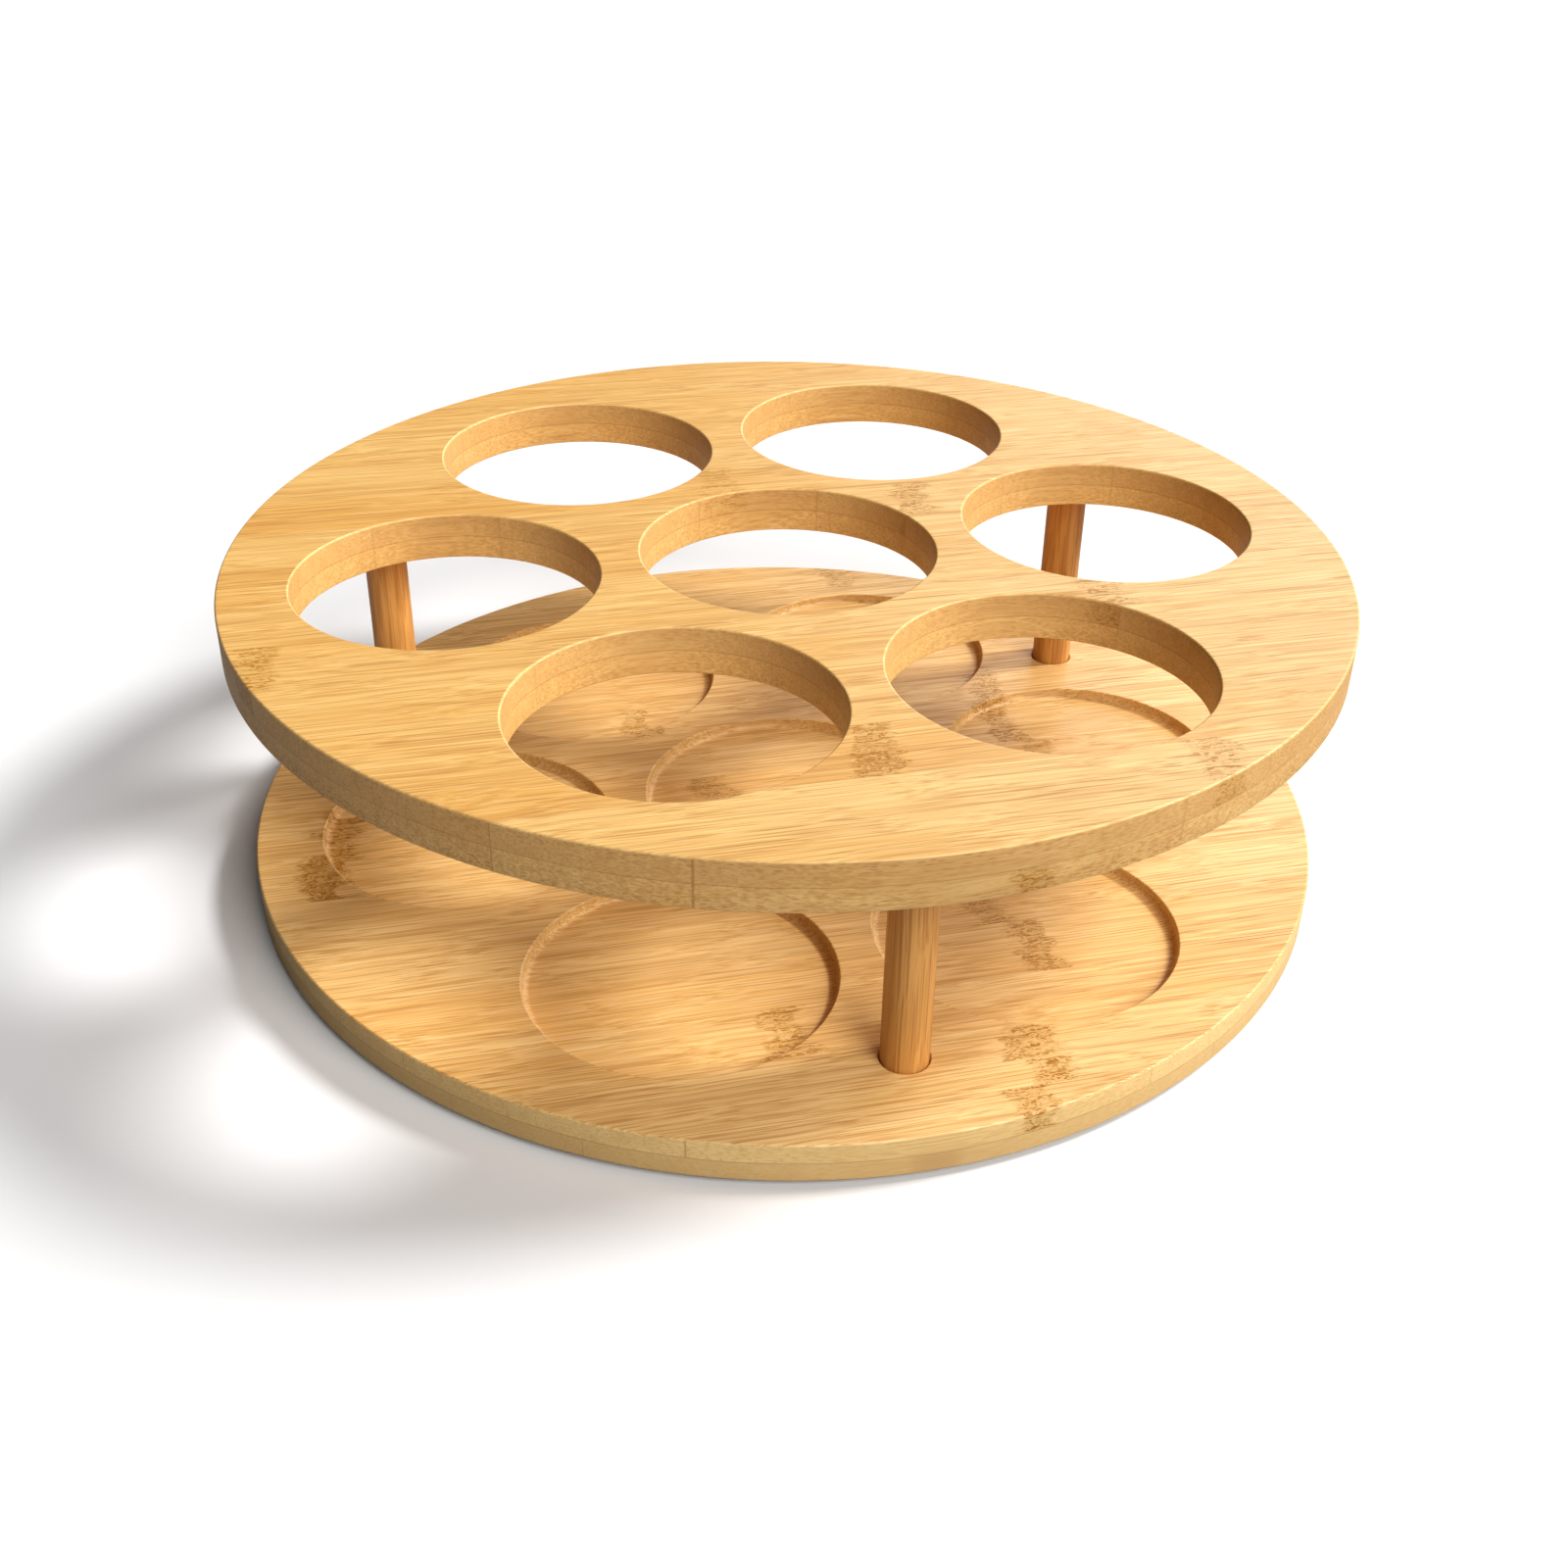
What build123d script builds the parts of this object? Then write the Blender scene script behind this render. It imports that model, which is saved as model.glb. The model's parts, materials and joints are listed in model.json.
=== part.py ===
from build123d import *
import os
from math import pi, sin

# A round two-tier bamboo holder. The upper tier is a disc with one cup hole in the middle and a
# ring of cup holes around it. The lower tier is a disc of the same size with a shallow recess
# under each hole. Three round posts join the tiers, glued into the upper one and screwed to the
# lower one from below. Millimetres, +Z up, origin on the table under the middle of the holder.

# --- Cup places ---------------------------------------------------------------------------------
CUP_DIAMETER = 80.0          # holes in the upper tier and recesses in the lower one
CUPS_IN_RING = 6             # places around the middle one
CUP_WEB = 11.7               # wood between two neighbouring holes
RIM_WIDTH = 18.3             # wood between the ring of holes and the tier's edge
RECESS_DEPTH = 3.0
RECESS_CORNER_RADIUS = 1.8   # left by the cutter where a recess wall meets its floor

# --- Boards -------------------------------------------------------------------------------------
UPPER_THICKNESS = 13.0
LOWER_THICKNESS = 11.0
TIER_GAP = 64.0              # clear height between the tiers
EDGE_ROUNDING = 0.6          # tier edges and hole rims
RECESS_RIM_ROUNDING = 0.5

# --- Posts --------------------------------------------------------------------------------------
POST_DIAMETER = 12.0
POST_NAMES = ("front", "right", "left")
POST_EDGE_MARGIN = 21.5      # wood between a post and the tier's edge
SOCKET_CLEARANCE = 0.2       # glue gap around a post, on the radius
SOCKET_ROOF = 5.0            # wood left over a post in the upper tier
LOWER_SOCKET_DEPTH = 4.0
SOCKET_MOUTH_CHAMFER = 0.4
POST_END_CHAMFER = 0.6

# --- Countersunk wood screws, one under each post -----------------------------------------------
SCREW_LENGTH = 22.0
SCREW_HEAD_DIAMETER = 7.0
SCREW_SHANK_DIAMETER = 3.2
SCREW_THREAD_DIAMETER = 3.5
SCREW_CORE_DIAMETER = 2.4
SCREW_THREAD_PITCH = 1.8
SCREW_FLANK = 0.3            # each side of a thread ridge, as a share of the pitch
SCREW_HEAD_SINK = 0.3        # the head lies this far inside the board
SCREW_CLEARANCE = 0.15       # around the shank in the board; the head seats on its cone
SCREW_TIP_LENGTH = 3.0
SCREW_TIP_ROOM = 1.0         # empty pilot hole beyond the tip
DRIVE_SPAN = 4.0             # cross-shaped driver recess
DRIVE_SLOT_WIDTH = 0.9
DRIVE_DEPTH = 1.3

# --- Anti-slip pads -----------------------------------------------------------------------------
PAD_DIAMETER = 12.0
PAD_THICKNESS = 2.0
PAD_EDGE_MARGIN = 14.0       # bare board between a pad and the tier's edge
PAD_ROUNDING = 0.6
PAD_NAMES = ("back_right", "back_left", "front_left", "front_right")

# --- Worked out from the sizes above ------------------------------------------------------------
CUP_PITCH = CUP_DIAMETER + CUP_WEB
CUP_RING_RADIUS = CUP_PITCH * max(1.0, 0.5 / sin(pi / CUPS_IN_RING))
TIER_RADIUS = CUP_RING_RADIUS + CUP_DIAMETER / 2 + RIM_WIDTH
POST_RING_RADIUS = TIER_RADIUS - POST_EDGE_MARGIN - POST_DIAMETER / 2
PAD_RING_RADIUS = TIER_RADIUS - PAD_EDGE_MARGIN - PAD_DIAMETER / 2

LOWER_BOTTOM = PAD_THICKNESS
LOWER_TOP = LOWER_BOTTOM + LOWER_THICKNESS
UPPER_BOTTOM = LOWER_TOP + TIER_GAP
UPPER_TOP = UPPER_BOTTOM + UPPER_THICKNESS
LOWER_SOCKET_FLOOR = LOWER_TOP - LOWER_SOCKET_DEPTH
UPPER_SOCKET_END = UPPER_TOP - SOCKET_ROOF
SOCKET_RADIUS = POST_DIAMETER / 2 + SOCKET_CLEARANCE

SCREW_BOTTOM = LOWER_BOTTOM + SCREW_HEAD_SINK
SCREW_TOP = SCREW_BOTTOM + SCREW_LENGTH
SCREW_CONE_HEIGHT = (SCREW_HEAD_DIAMETER - SCREW_SHANK_DIAMETER) / 2

FIRST_POST_ANGLE = -90.0     # a post stands at the front, midway between two cup places
FIRST_PAD_ANGLE = 45.0
CUT_OVERLAP = 1.0            # cutters reach this far past the face they open
FLAT = 1e-6                  # an edge lower than this lies flat
SAME_RADIUS = 1e-4
FROM_BELOW = (Align.CENTER, Align.CENTER, Align.MIN)


def upright(radius, bottom, top):
    """A vertical cylinder on the Z axis between two heights."""
    return Pos(0, 0, bottom) * Cylinder(radius, top - bottom, align=FROM_BELOW)


def cup_places():
    """The middle place and the ring of places around it."""
    return [Location()] + list(PolarLocations(CUP_RING_RADIUS, CUPS_IN_RING))


def post_places():
    """One place for each post, midway between two cup places of the ring."""
    return list(PolarLocations(POST_RING_RADIUS, len(POST_NAMES), start_angle=FIRST_POST_ANGLE))


def pad_places():
    """One place for each anti-slip pad."""
    return list(PolarLocations(PAD_RING_RADIUS, len(PAD_NAMES), start_angle=FIRST_PAD_ANGLE))


def circles_at(solid, height):
    """The solid's round edges that lie flat at one height."""
    flat = solid.edges().filter_by(GeomType.CIRCLE).filter_by_position(Axis.Z, height, height)
    return [e for e in flat if e.bounding_box().size.Z < FLAT]


def rim_circles(solid, height, radii):
    """Those round edges that have one of the given radii."""
    return [e for e in circles_at(solid, height) if any(abs(e.radius - r) < SAME_RADIUS for r in radii)]


def screw_hole():
    """Clearance hole for the shank, with a countersink for the head, through the lower tier."""
    head_radius = SCREW_HEAD_DIAMETER / 2
    shank_radius = SCREW_SHANK_DIAMETER / 2 + SCREW_CLEARANCE
    cone = Cone(head_radius, shank_radius, head_radius - shank_radius, align=FROM_BELOW)
    mouth = upright(head_radius, LOWER_BOTTOM - CUT_OVERLAP, SCREW_BOTTOM)
    shank = upright(shank_radius, SCREW_BOTTOM, LOWER_SOCKET_FLOOR + CUT_OVERLAP)
    return mouth + Pos(0, 0, SCREW_BOTTOM) * cone + shank


def upper_tier():
    """The upper disc: through holes for the cups and blind sockets for the posts below."""
    tier = upright(TIER_RADIUS, UPPER_BOTTOM, UPPER_TOP)
    hole = upright(CUP_DIAMETER / 2, UPPER_BOTTOM - CUT_OVERLAP, UPPER_TOP + CUT_OVERLAP)
    tier -= [place * hole for place in cup_places()]
    rims = rim_circles(tier, UPPER_TOP, (TIER_RADIUS, CUP_DIAMETER / 2))
    rims += rim_circles(tier, UPPER_BOTTOM, (TIER_RADIUS, CUP_DIAMETER / 2))
    tier = fillet(rims, EDGE_ROUNDING)
    socket = upright(SOCKET_RADIUS, UPPER_BOTTOM - CUT_OVERLAP, UPPER_SOCKET_END)
    tier -= [place * socket for place in post_places()]
    return chamfer(rim_circles(tier, UPPER_BOTTOM, (SOCKET_RADIUS,)), SOCKET_MOUTH_CHAMFER)


def lower_tier():
    """The lower disc: a recess under each hole, sockets for the posts and their screw holes."""
    tier = upright(TIER_RADIUS, LOWER_BOTTOM, LOWER_TOP)
    recess_floor = LOWER_TOP - RECESS_DEPTH
    recess = upright(CUP_DIAMETER / 2, recess_floor, LOWER_TOP + CUT_OVERLAP)
    recess = fillet(rim_circles(recess, recess_floor, (CUP_DIAMETER / 2,)), RECESS_CORNER_RADIUS)
    tier -= [place * recess for place in cup_places()]
    edges = rim_circles(tier, LOWER_TOP, (TIER_RADIUS,))
    edges += rim_circles(tier, LOWER_BOTTOM, (TIER_RADIUS,))
    tier = fillet(edges, EDGE_ROUNDING)
    tier = fillet(rim_circles(tier, LOWER_TOP, (CUP_DIAMETER / 2,)), RECESS_RIM_ROUNDING)
    socket = upright(SOCKET_RADIUS, LOWER_SOCKET_FLOOR, LOWER_TOP + CUT_OVERLAP)
    tier -= [place * socket for place in post_places()]
    tier = chamfer(rim_circles(tier, LOWER_TOP, (SOCKET_RADIUS,)), SOCKET_MOUTH_CHAMFER)
    return tier - [place * screw_hole() for place in post_places()]


def post():
    """A round bamboo post, seated on the floor of both sockets, with a pilot hole for its screw."""
    rod = upright(POST_DIAMETER / 2, LOWER_SOCKET_FLOOR, UPPER_SOCKET_END)
    rod = chamfer(rod.edges().filter_by(GeomType.CIRCLE), POST_END_CHAMFER)
    pilot = upright(SCREW_THREAD_DIAMETER / 2, LOWER_SOCKET_FLOOR - CUT_OVERLAP, SCREW_TOP + SCREW_TIP_ROOM)
    return rod - pilot


def screw():
    """A countersunk wood screw: cone head, smooth shank in the board, threaded part in the post."""
    shank = SCREW_SHANK_DIAMETER / 2
    core = SCREW_CORE_DIAMETER / 2
    crest = SCREW_THREAD_DIAMETER / 2
    outline = [(0, SCREW_BOTTOM), (SCREW_HEAD_DIAMETER / 2, SCREW_BOTTOM)]
    outline += [(shank, SCREW_BOTTOM + SCREW_CONE_HEIGHT), (shank, LOWER_SOCKET_FLOOR)]
    turns = int((SCREW_TOP - SCREW_TIP_LENGTH - LOWER_SOCKET_FLOOR) / SCREW_THREAD_PITCH)
    for turn in range(turns):
        root = LOWER_SOCKET_FLOOR + turn * SCREW_THREAD_PITCH
        foot = root + SCREW_THREAD_PITCH * SCREW_FLANK
        outline += [(core, foot), (crest, foot + SCREW_THREAD_PITCH * SCREW_FLANK)]
    outline += [(core, SCREW_TOP - SCREW_TIP_LENGTH), (0, SCREW_TOP)]
    profile = make_face(Plane.XZ * Polyline(*outline, close=True))
    body = revolve(profile, Axis.Z)
    slot = Box(DRIVE_SPAN, DRIVE_SLOT_WIDTH, DRIVE_DEPTH + CUT_OVERLAP, align=FROM_BELOW)
    slot = Pos(0, 0, SCREW_BOTTOM - CUT_OVERLAP) * slot
    return body - slot - Rot(0, 0, 90) * slot


def pad():
    """A round anti-slip pad stuck to the underside of the lower tier."""
    disc = upright(PAD_DIAMETER / 2, 0, PAD_THICKNESS)
    return fillet(rim_circles(disc, 0, (PAD_DIAMETER / 2,)), PAD_ROUNDING)


def pieces():
    """Every piece of the holder, in its place, by name."""
    found = {"upper_tier": upper_tier(), "lower_tier": lower_tier()}
    for name, place in zip(POST_NAMES, post_places()):
        found[f"post_{name}"] = place * post()
        found[f"screw_{name}"] = place * screw()
    for name, place in zip(PAD_NAMES, pad_places()):
        found[f"pad_{name}"] = place * pad()
    return found


os.makedirs("parts", exist_ok=True)
for node, solid in pieces().items():
    export_step(solid, f"parts/{node}.step")
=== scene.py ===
"""Looks of a round two-tier bamboo holder: boards, posts, screws, pads and a plain studio.

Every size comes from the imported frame. All lengths are in metres, +Z up, and the fibres of both
boards run along X.
"""

import json
import logging
from dataclasses import dataclass, field
from enum import Enum
from math import atan2, cos, pi, radians, sin
from typing import Callable, Sequence

import bmesh
import bpy
from mathutils import Matrix, Vector

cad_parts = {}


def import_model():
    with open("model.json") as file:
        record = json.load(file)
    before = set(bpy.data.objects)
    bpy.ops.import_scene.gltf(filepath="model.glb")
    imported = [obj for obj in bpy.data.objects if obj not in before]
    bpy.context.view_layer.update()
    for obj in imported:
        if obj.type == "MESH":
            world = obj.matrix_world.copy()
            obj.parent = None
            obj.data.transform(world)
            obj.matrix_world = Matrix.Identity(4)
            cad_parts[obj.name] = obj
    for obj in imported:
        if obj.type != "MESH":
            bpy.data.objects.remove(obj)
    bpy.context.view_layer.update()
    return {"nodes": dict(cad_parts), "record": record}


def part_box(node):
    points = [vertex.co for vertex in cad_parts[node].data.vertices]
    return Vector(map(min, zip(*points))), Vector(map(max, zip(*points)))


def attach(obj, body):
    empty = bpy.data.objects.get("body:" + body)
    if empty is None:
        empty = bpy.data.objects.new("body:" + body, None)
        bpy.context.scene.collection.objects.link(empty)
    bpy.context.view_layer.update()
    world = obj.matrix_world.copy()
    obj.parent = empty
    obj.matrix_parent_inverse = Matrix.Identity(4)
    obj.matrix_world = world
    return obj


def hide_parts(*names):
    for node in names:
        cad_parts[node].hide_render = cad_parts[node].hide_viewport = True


LOG = logging.getLogger("holder")
MM = 0.001

Socket = bpy.types.NodeSocket
Sockets = dict[str, Socket]
Value = float | int | bool | Sequence[float] | Socket


class Slot(Enum):
    """Material slots of the record, one for each kind of piece."""

    BOARD = "bamboo_board"
    POST = "bamboo_post"
    SCREW = "screw_steel"
    PAD = "pad_rubber"


class Ply(Enum):
    """The two layers that a board is glued up from."""

    UPPER = 1.0
    LOWER = 0.0


def stand(title: str, data: bpy.types.ID) -> bpy.types.Object:
    """A new object in the scene, at the origin."""
    thing = bpy.data.objects.new(title, data)
    bpy.context.scene.collection.objects.link(thing)
    return thing


# --- Node graphs ---


class Graph:
    """Adds nodes to one node tree and wires them."""

    def __init__(self, tree: bpy.types.NodeTree) -> None:
        """Wrap a tree.

        Args:
            tree: The shader or geometry tree that new nodes go into.
        """
        self.tree = tree

    def add(self, kind: str, **settings: object) -> bpy.types.Node:
        """Add a node and set its plain properties.

        Args:
            kind: The node's type name in Blender.
            settings: Properties of the node, by name.

        Returns:
            The new node.
        """
        node = self.tree.nodes.new(kind)
        for name, value in settings.items():
            setattr(node, name, value)
        return node

    def feed(self, target: Socket, value: Value) -> None:
        """Wire a socket to another one, or give it a plain value.

        Args:
            target: The input to feed.
            value: An output socket, or the value to write.
        """
        if isinstance(value, Socket):
            self.tree.links.new(value, target)
        else:
            target.default_value = value

    def call(self, kind: str, inputs: dict[str, Value], output: str, **settings: object) -> Socket:
        """Add a node, feed its named inputs and hand back one output.

        Args:
            kind: The node's type name in Blender.
            inputs: Values or sockets by input name.
            output: The name of the wanted output.
            settings: Properties of the node, by name.

        Returns:
            The output socket.
        """
        node = self.add(kind, **settings)
        for name, value in inputs.items():
            self.feed(node.inputs[name], value)
        return node.outputs[output]

    def operate(self, kind: str, values: Sequence[Value], **settings: object) -> Socket:
        """Add a node, feed its operands in order and hand back its first output."""
        node = self.add(kind, **settings)
        for target, value in zip(node.inputs, values):
            self.feed(target, value)
        return node.outputs[0]

    def math(self, operation: str, *values: Value, clamp: bool = False) -> Socket:
        """The result of one Math operation, held between 0 and 1 if it is clamped."""
        return self.operate("ShaderNodeMath", values, operation=operation, use_clamp=clamp)

    def vector(self, operation: str, *values: Value) -> Socket:
        """The resulting vector of one Vector Math operation."""
        return self.operate("ShaderNodeVectorMath", values, operation=operation)

    def split(self, vector: Socket) -> tuple[Socket, Socket, Socket]:
        """The three parts of a vector."""
        node = self.add("ShaderNodeSeparateXYZ")
        self.feed(node.inputs[0], vector)
        return node.outputs[0], node.outputs[1], node.outputs[2]

    def join(self, x: Value, y: Value, z: Value) -> Socket:
        """A vector from its three parts."""
        return self.call("ShaderNodeCombineXYZ", {"X": x, "Y": y, "Z": z}, "Vector")

    def fade(self, value: Value, low: Value, high: Value, start: Value = 0.0, end: Value = 1.0) -> Socket:
        """A smooth step from 'start' to 'end' while the value goes from 'low' to 'high'."""
        levels = {"Value": value, "From Min": low, "From Max": high, "To Min": start, "To Max": end}
        return self.call("ShaderNodeMapRange", levels, "Result", interpolation_type="SMOOTHSTEP")

    def mix(self, share: Value, first: Value, second: Value) -> Socket:
        """Blend two colours.

        Args:
            share: How much of the second colour there is.
            first: The colour at share 0.
            second: The colour at share 1.

        Returns:
            The mixed colour.
        """
        node = self.add("ShaderNodeMix", data_type="RGBA")
        for index, value in ((0, share), (6, first), (7, second)):
            self.feed(node.inputs[index], value)
        return node.outputs[2]

    def noise(self, vector: Socket, detail: float = 2.0, roughness: float = 0.5) -> Socket:
        """Soft noise of feature size 1 in the given vector's units."""
        inputs = {"Vector": vector, "Scale": 1.0, "Detail": detail, "Roughness": roughness}
        return self.call("ShaderNodeTexNoise", inputs, "Fac")

    def cells(self, vector: Socket, randomness: float) -> Socket:
        """Distance to the nearest middle of cells of size 1 in the given vector's units."""
        inputs = {"Vector": vector, "Scale": 1.0, "Randomness": randomness}
        return self.call("ShaderNodeTexVoronoi", inputs, "Distance", feature="F1")

    def product(self, *values: Value) -> Socket:
        """Several values multiplied together."""
        result = values[0]
        for value in values[1:]:
            result = self.math("MULTIPLY", result, value)
        return result

    def bump(self, height: Socket, strength: float, distance: float) -> Socket:
        """The normal of a relief that is 'distance' deep."""
        inputs = {"Strength": strength, "Distance": distance, "Height": height}
        return self.call("ShaderNodeBump", inputs, "Normal")

    def stretch(self, vector: Socket, along: float, across: float, through: float) -> Socket:
        """A vector scaled by its number of features per metre in X, Y and Z."""
        return self.vector("MULTIPLY", vector, (along, across, through))


NUMBER, VECTOR = "NodeSocketFloat", "NodeSocketVector"


def shader_group(
    name: str,
    sizes: dict[str, float],
    outputs: Sequence[str],
    build: Callable[[Graph, Sockets], Sockets],
) -> bpy.types.NodeTree:
    """A shader node group, built the first time that it is asked for.

    Args:
        name: The group's name.
        sizes: The inputs next to Vector, each a number, with their values when nothing feeds them.
        outputs: The names of the outputs, each a number.
        build: Adds the nodes, given the graph and the group's inputs, and returns the outputs.

    Returns:
        The node tree.
    """
    if name in bpy.data.node_groups:
        return bpy.data.node_groups[name]
    tree = bpy.data.node_groups.new(name, "ShaderNodeTree")
    tree.interface.new_socket("Vector", in_out="INPUT", socket_type=VECTOR)
    for title, value in sizes.items():
        tree.interface.new_socket(title, in_out="INPUT", socket_type=NUMBER).default_value = value
    for title in outputs:
        tree.interface.new_socket(title, in_out="OUTPUT", socket_type=NUMBER)
    graph = Graph(tree)
    given = graph.add("NodeGroupInput")
    result = graph.add("NodeGroupOutput")
    for title, socket in build(graph, {s.name: s for s in given.outputs if s.name}).items():
        graph.feed(result.inputs[title], socket)
    return tree


def place_group(graph: Graph, tree: bpy.types.NodeTree, inputs: dict[str, Value]) -> Sockets:
    """Put a node group into a graph.

    Args:
        graph: The graph that it goes into.
        tree: The group.
        inputs: Values or sockets by input name.

    Returns:
        The outputs by name.
    """
    node = graph.add("ShaderNodeGroup", node_tree=tree)
    for name, value in inputs.items():
        graph.feed(node.inputs[name], value)
    return {socket.name: socket for socket in node.outputs}


# --- Shared effects ---

SAME = 0.1  # Whole numbers this close count as equal.
PLY_SEED_STEP = 37.0
STRIP_SPACING = 0.731
STRIP_SPACING_ACROSS = 0.37

# Densities are features per metre along, across and through the fibres.
Density = tuple[float, float, float]
KNOT_WANDER: Density = (60.0, 110.0, 110.0)
SLOW_SWAY: Density = (14.0, 45.0, 45.0)
SLOW_LIFT: Density = (22.0, 70.0, 30.0)
KNOT_CURL: Density = (190.0, 330.0, 330.0)
KNOT_CURL_THROUGH: Density = (230.0, 300.0, 420.0)
BUNDLES: Density = (10.0, 1400.0, 1400.0)
THREADS: Density = (13.0, 2000.0, 2000.0)
BANDS: Density = (8.0, 330.0, 330.0)
PATCHES: Density = (9.0, 40.0, 60.0)
DASHES: Density = (380.0, 620.0, 1500.0)
# Patches along the rounded rims, in their pale sanding and painted highlight.
RIM_WEAR_AND_HIGHLIGHT: Density = (160.0, 160.0, 160.0)

# Bundles are sparse beside the glue line and crowd toward a board's outer faces.
CROWDING = (0.5 * MM, 5.5 * MM, 0.3, 1.0)
EDGE_ZONE = (2.0 * MM, 1.0 * MM)
KNOT_SOLID_SHARE = 0.55
SWAY_WIDTH = 3.0 * MM
LIFT_WIDTH = 5.0 * MM
CURL_WIDTH = 5.0 * MM


def strips_group() -> bpy.types.NodeTree:
    """Which strip of which ply a point lies in, and how near it is to a glue line."""

    def build(g: Graph, given: Sockets) -> Sockets:
        """Number the strips across Y in each ply."""
        _, y, z = g.split(given["Vector"])
        height = g.math("SUBTRACT", z, given["Glue Height"])
        ply = g.math("GREATER_THAN", height, 0.0)
        step = g.math("SUBTRACT", given["Upper Shift"], given["Lower Shift"])
        shift = g.math("MULTIPLY_ADD", ply, step, given["Lower Shift"])
        counted = g.math("DIVIDE", g.math("SUBTRACT", y, shift), given["Strip Width"])
        row = g.math("FLOOR", counted)
        across = g.math("SUBTRACT", g.math("SUBTRACT", counted, row), 0.5)
        from_edge = g.math("SUBTRACT", 0.5, g.math("ABSOLUTE", across))
        to_seam = g.product(from_edge, given["Strip Width"])
        seam = g.fade(to_seam, 0.0, given["Seam Width"], 1.0, 0.0)
        depth = g.math("ABSOLUTE", height)
        glue = g.fade(depth, 0.0, given["Seam Width"], 1.0, 0.0)
        strip = g.math("MULTIPLY_ADD", ply, PLY_SEED_STEP, g.math("ADD", row, given["Seed"]))
        return {"Strip": strip, "Row": row, "Seam": seam, "Glue": glue, "Ply": ply, "Depth": depth}

    return shader_group(
        "bamboo_strips",
        {
            "Strip Width": 22 * MM,
            "Upper Shift": 0.0,
            "Lower Shift": 0.0,
            "Glue Height": 0.0,
            "Seam Width": 0.2 * MM,
            "Seed": 0.0,
        },
        ("Strip", "Row", "Seam", "Glue", "Ply", "Depth"),
        build,
    )


def knot_group() -> bpy.types.NodeTree:
    """The joint of a bamboo cane where it crosses one strip, as a ragged band across the strip."""

    def build(g: Graph, given: Sockets) -> Sockets:
        """A band across one row, with edges that wander."""
        x, _, _ = g.split(given["Vector"])
        wander = g.noise(g.stretch(given["Vector"], *KNOT_WANDER), 3.0, 0.6)
        drift = g.product(g.math("SUBTRACT", wander, 0.5), given["Raggedness"])
        away = g.math("ABSOLUTE", g.math("ADD", g.math("SUBTRACT", x, given["Along"]), drift))
        solid = g.product(given["Half Length"], KNOT_SOLID_SHARE)
        band = g.fade(away, solid, given["Half Length"], 1.0, 0.0)
        in_row = g.math("COMPARE", given["Row"], given["Wanted Row"], SAME)
        in_ply = g.math("COMPARE", given["Ply"], given["Wanted Ply"], SAME)
        return {"Knot": g.product(band, in_row, in_ply, given["Strength"])}

    return shader_group(
        "bamboo_knot",
        {
            "Row": 0.0,
            "Ply": 0.0,
            "Wanted Row": 0.0,
            "Wanted Ply": 0.0,
            "Along": 0.0,
            "Half Length": 8 * MM,
            "Raggedness": 19 * MM,
            "Strength": 1.0,
        },
        ("Knot",),
        build,
    )


def fibre_group() -> bpy.types.NodeTree:
    """Bamboo fibres along X: dark bundles in a pale ground, seen as lines or, end on, as dots."""

    def build(g: Graph, given: Sockets) -> Sockets:
        """Bundles from cells stretched along X, bent slowly and broken up at the knots."""
        apart = g.product(given["Strip"], STRIP_SPACING)
        apart_across = g.product(apart, STRIP_SPACING_ACROSS)
        place = g.vector("ADD", given["Vector"], g.join(apart, apart_across, apart))
        sway = g.noise(g.stretch(place, *SLOW_SWAY), 2.0, 0.5)
        lift = g.noise(g.stretch(place, *SLOW_LIFT), 1.0, 0.5)
        curl = g.noise(g.stretch(place, *KNOT_CURL), 3.0, 0.6)
        curl_through = g.noise(g.stretch(place, *KNOT_CURL_THROUGH), 2.0, 0.6)
        bend_y = g.product(g.math("SUBTRACT", sway, 0.5), SWAY_WIDTH)
        bend_z = g.product(g.math("SUBTRACT", lift, 0.5), LIFT_WIDTH)
        knot_curl = g.product(given["Knot"], CURL_WIDTH)
        bend_y = g.math("MULTIPLY_ADD", g.math("SUBTRACT", curl, 0.5), knot_curl, bend_y)
        bend_z = g.math("MULTIPLY_ADD", g.math("SUBTRACT", curl_through, 0.5), knot_curl, bend_z)
        bent = g.vector("ADD", place, g.join(0.0, bend_y, bend_z))
        bundle = g.fade(g.cells(g.stretch(bent, *BUNDLES), 1.0), 0.22, 0.46, 1.0, 0.0)
        thread = g.noise(g.stretch(bent, *THREADS), 2.0, 0.65)
        band = g.noise(g.stretch(bent, *BANDS), 3.0, 0.6)
        patch = g.noise(g.stretch(place, *PATCHES), 2.0, 0.5)
        lines = g.product(bundle, g.fade(band, 0.34, 0.6, 0.3, 1.0))
        dash = g.fade(g.cells(g.stretch(bent, *DASHES), 0.75), 0.18, 0.5, 1.0, 0.0)
        silk = g.fade(thread, 0.36, 0.48, 1.0, 0.0)
        fine = g.fade(thread, 0.5, 0.62)
        wide = g.fade(band, 0.32, 0.7)
        return {"Bundle": lines, "Thread": fine, "Silk": silk, "Dash": dash, "Band": wide, "Patch": patch}

    return shader_group(
        "bamboo_fibres",
        {"Strip": 0.0, "Knot": 0.0},
        ("Bundle", "Thread", "Silk", "Dash", "Band", "Patch"),
        build,
    )


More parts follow.
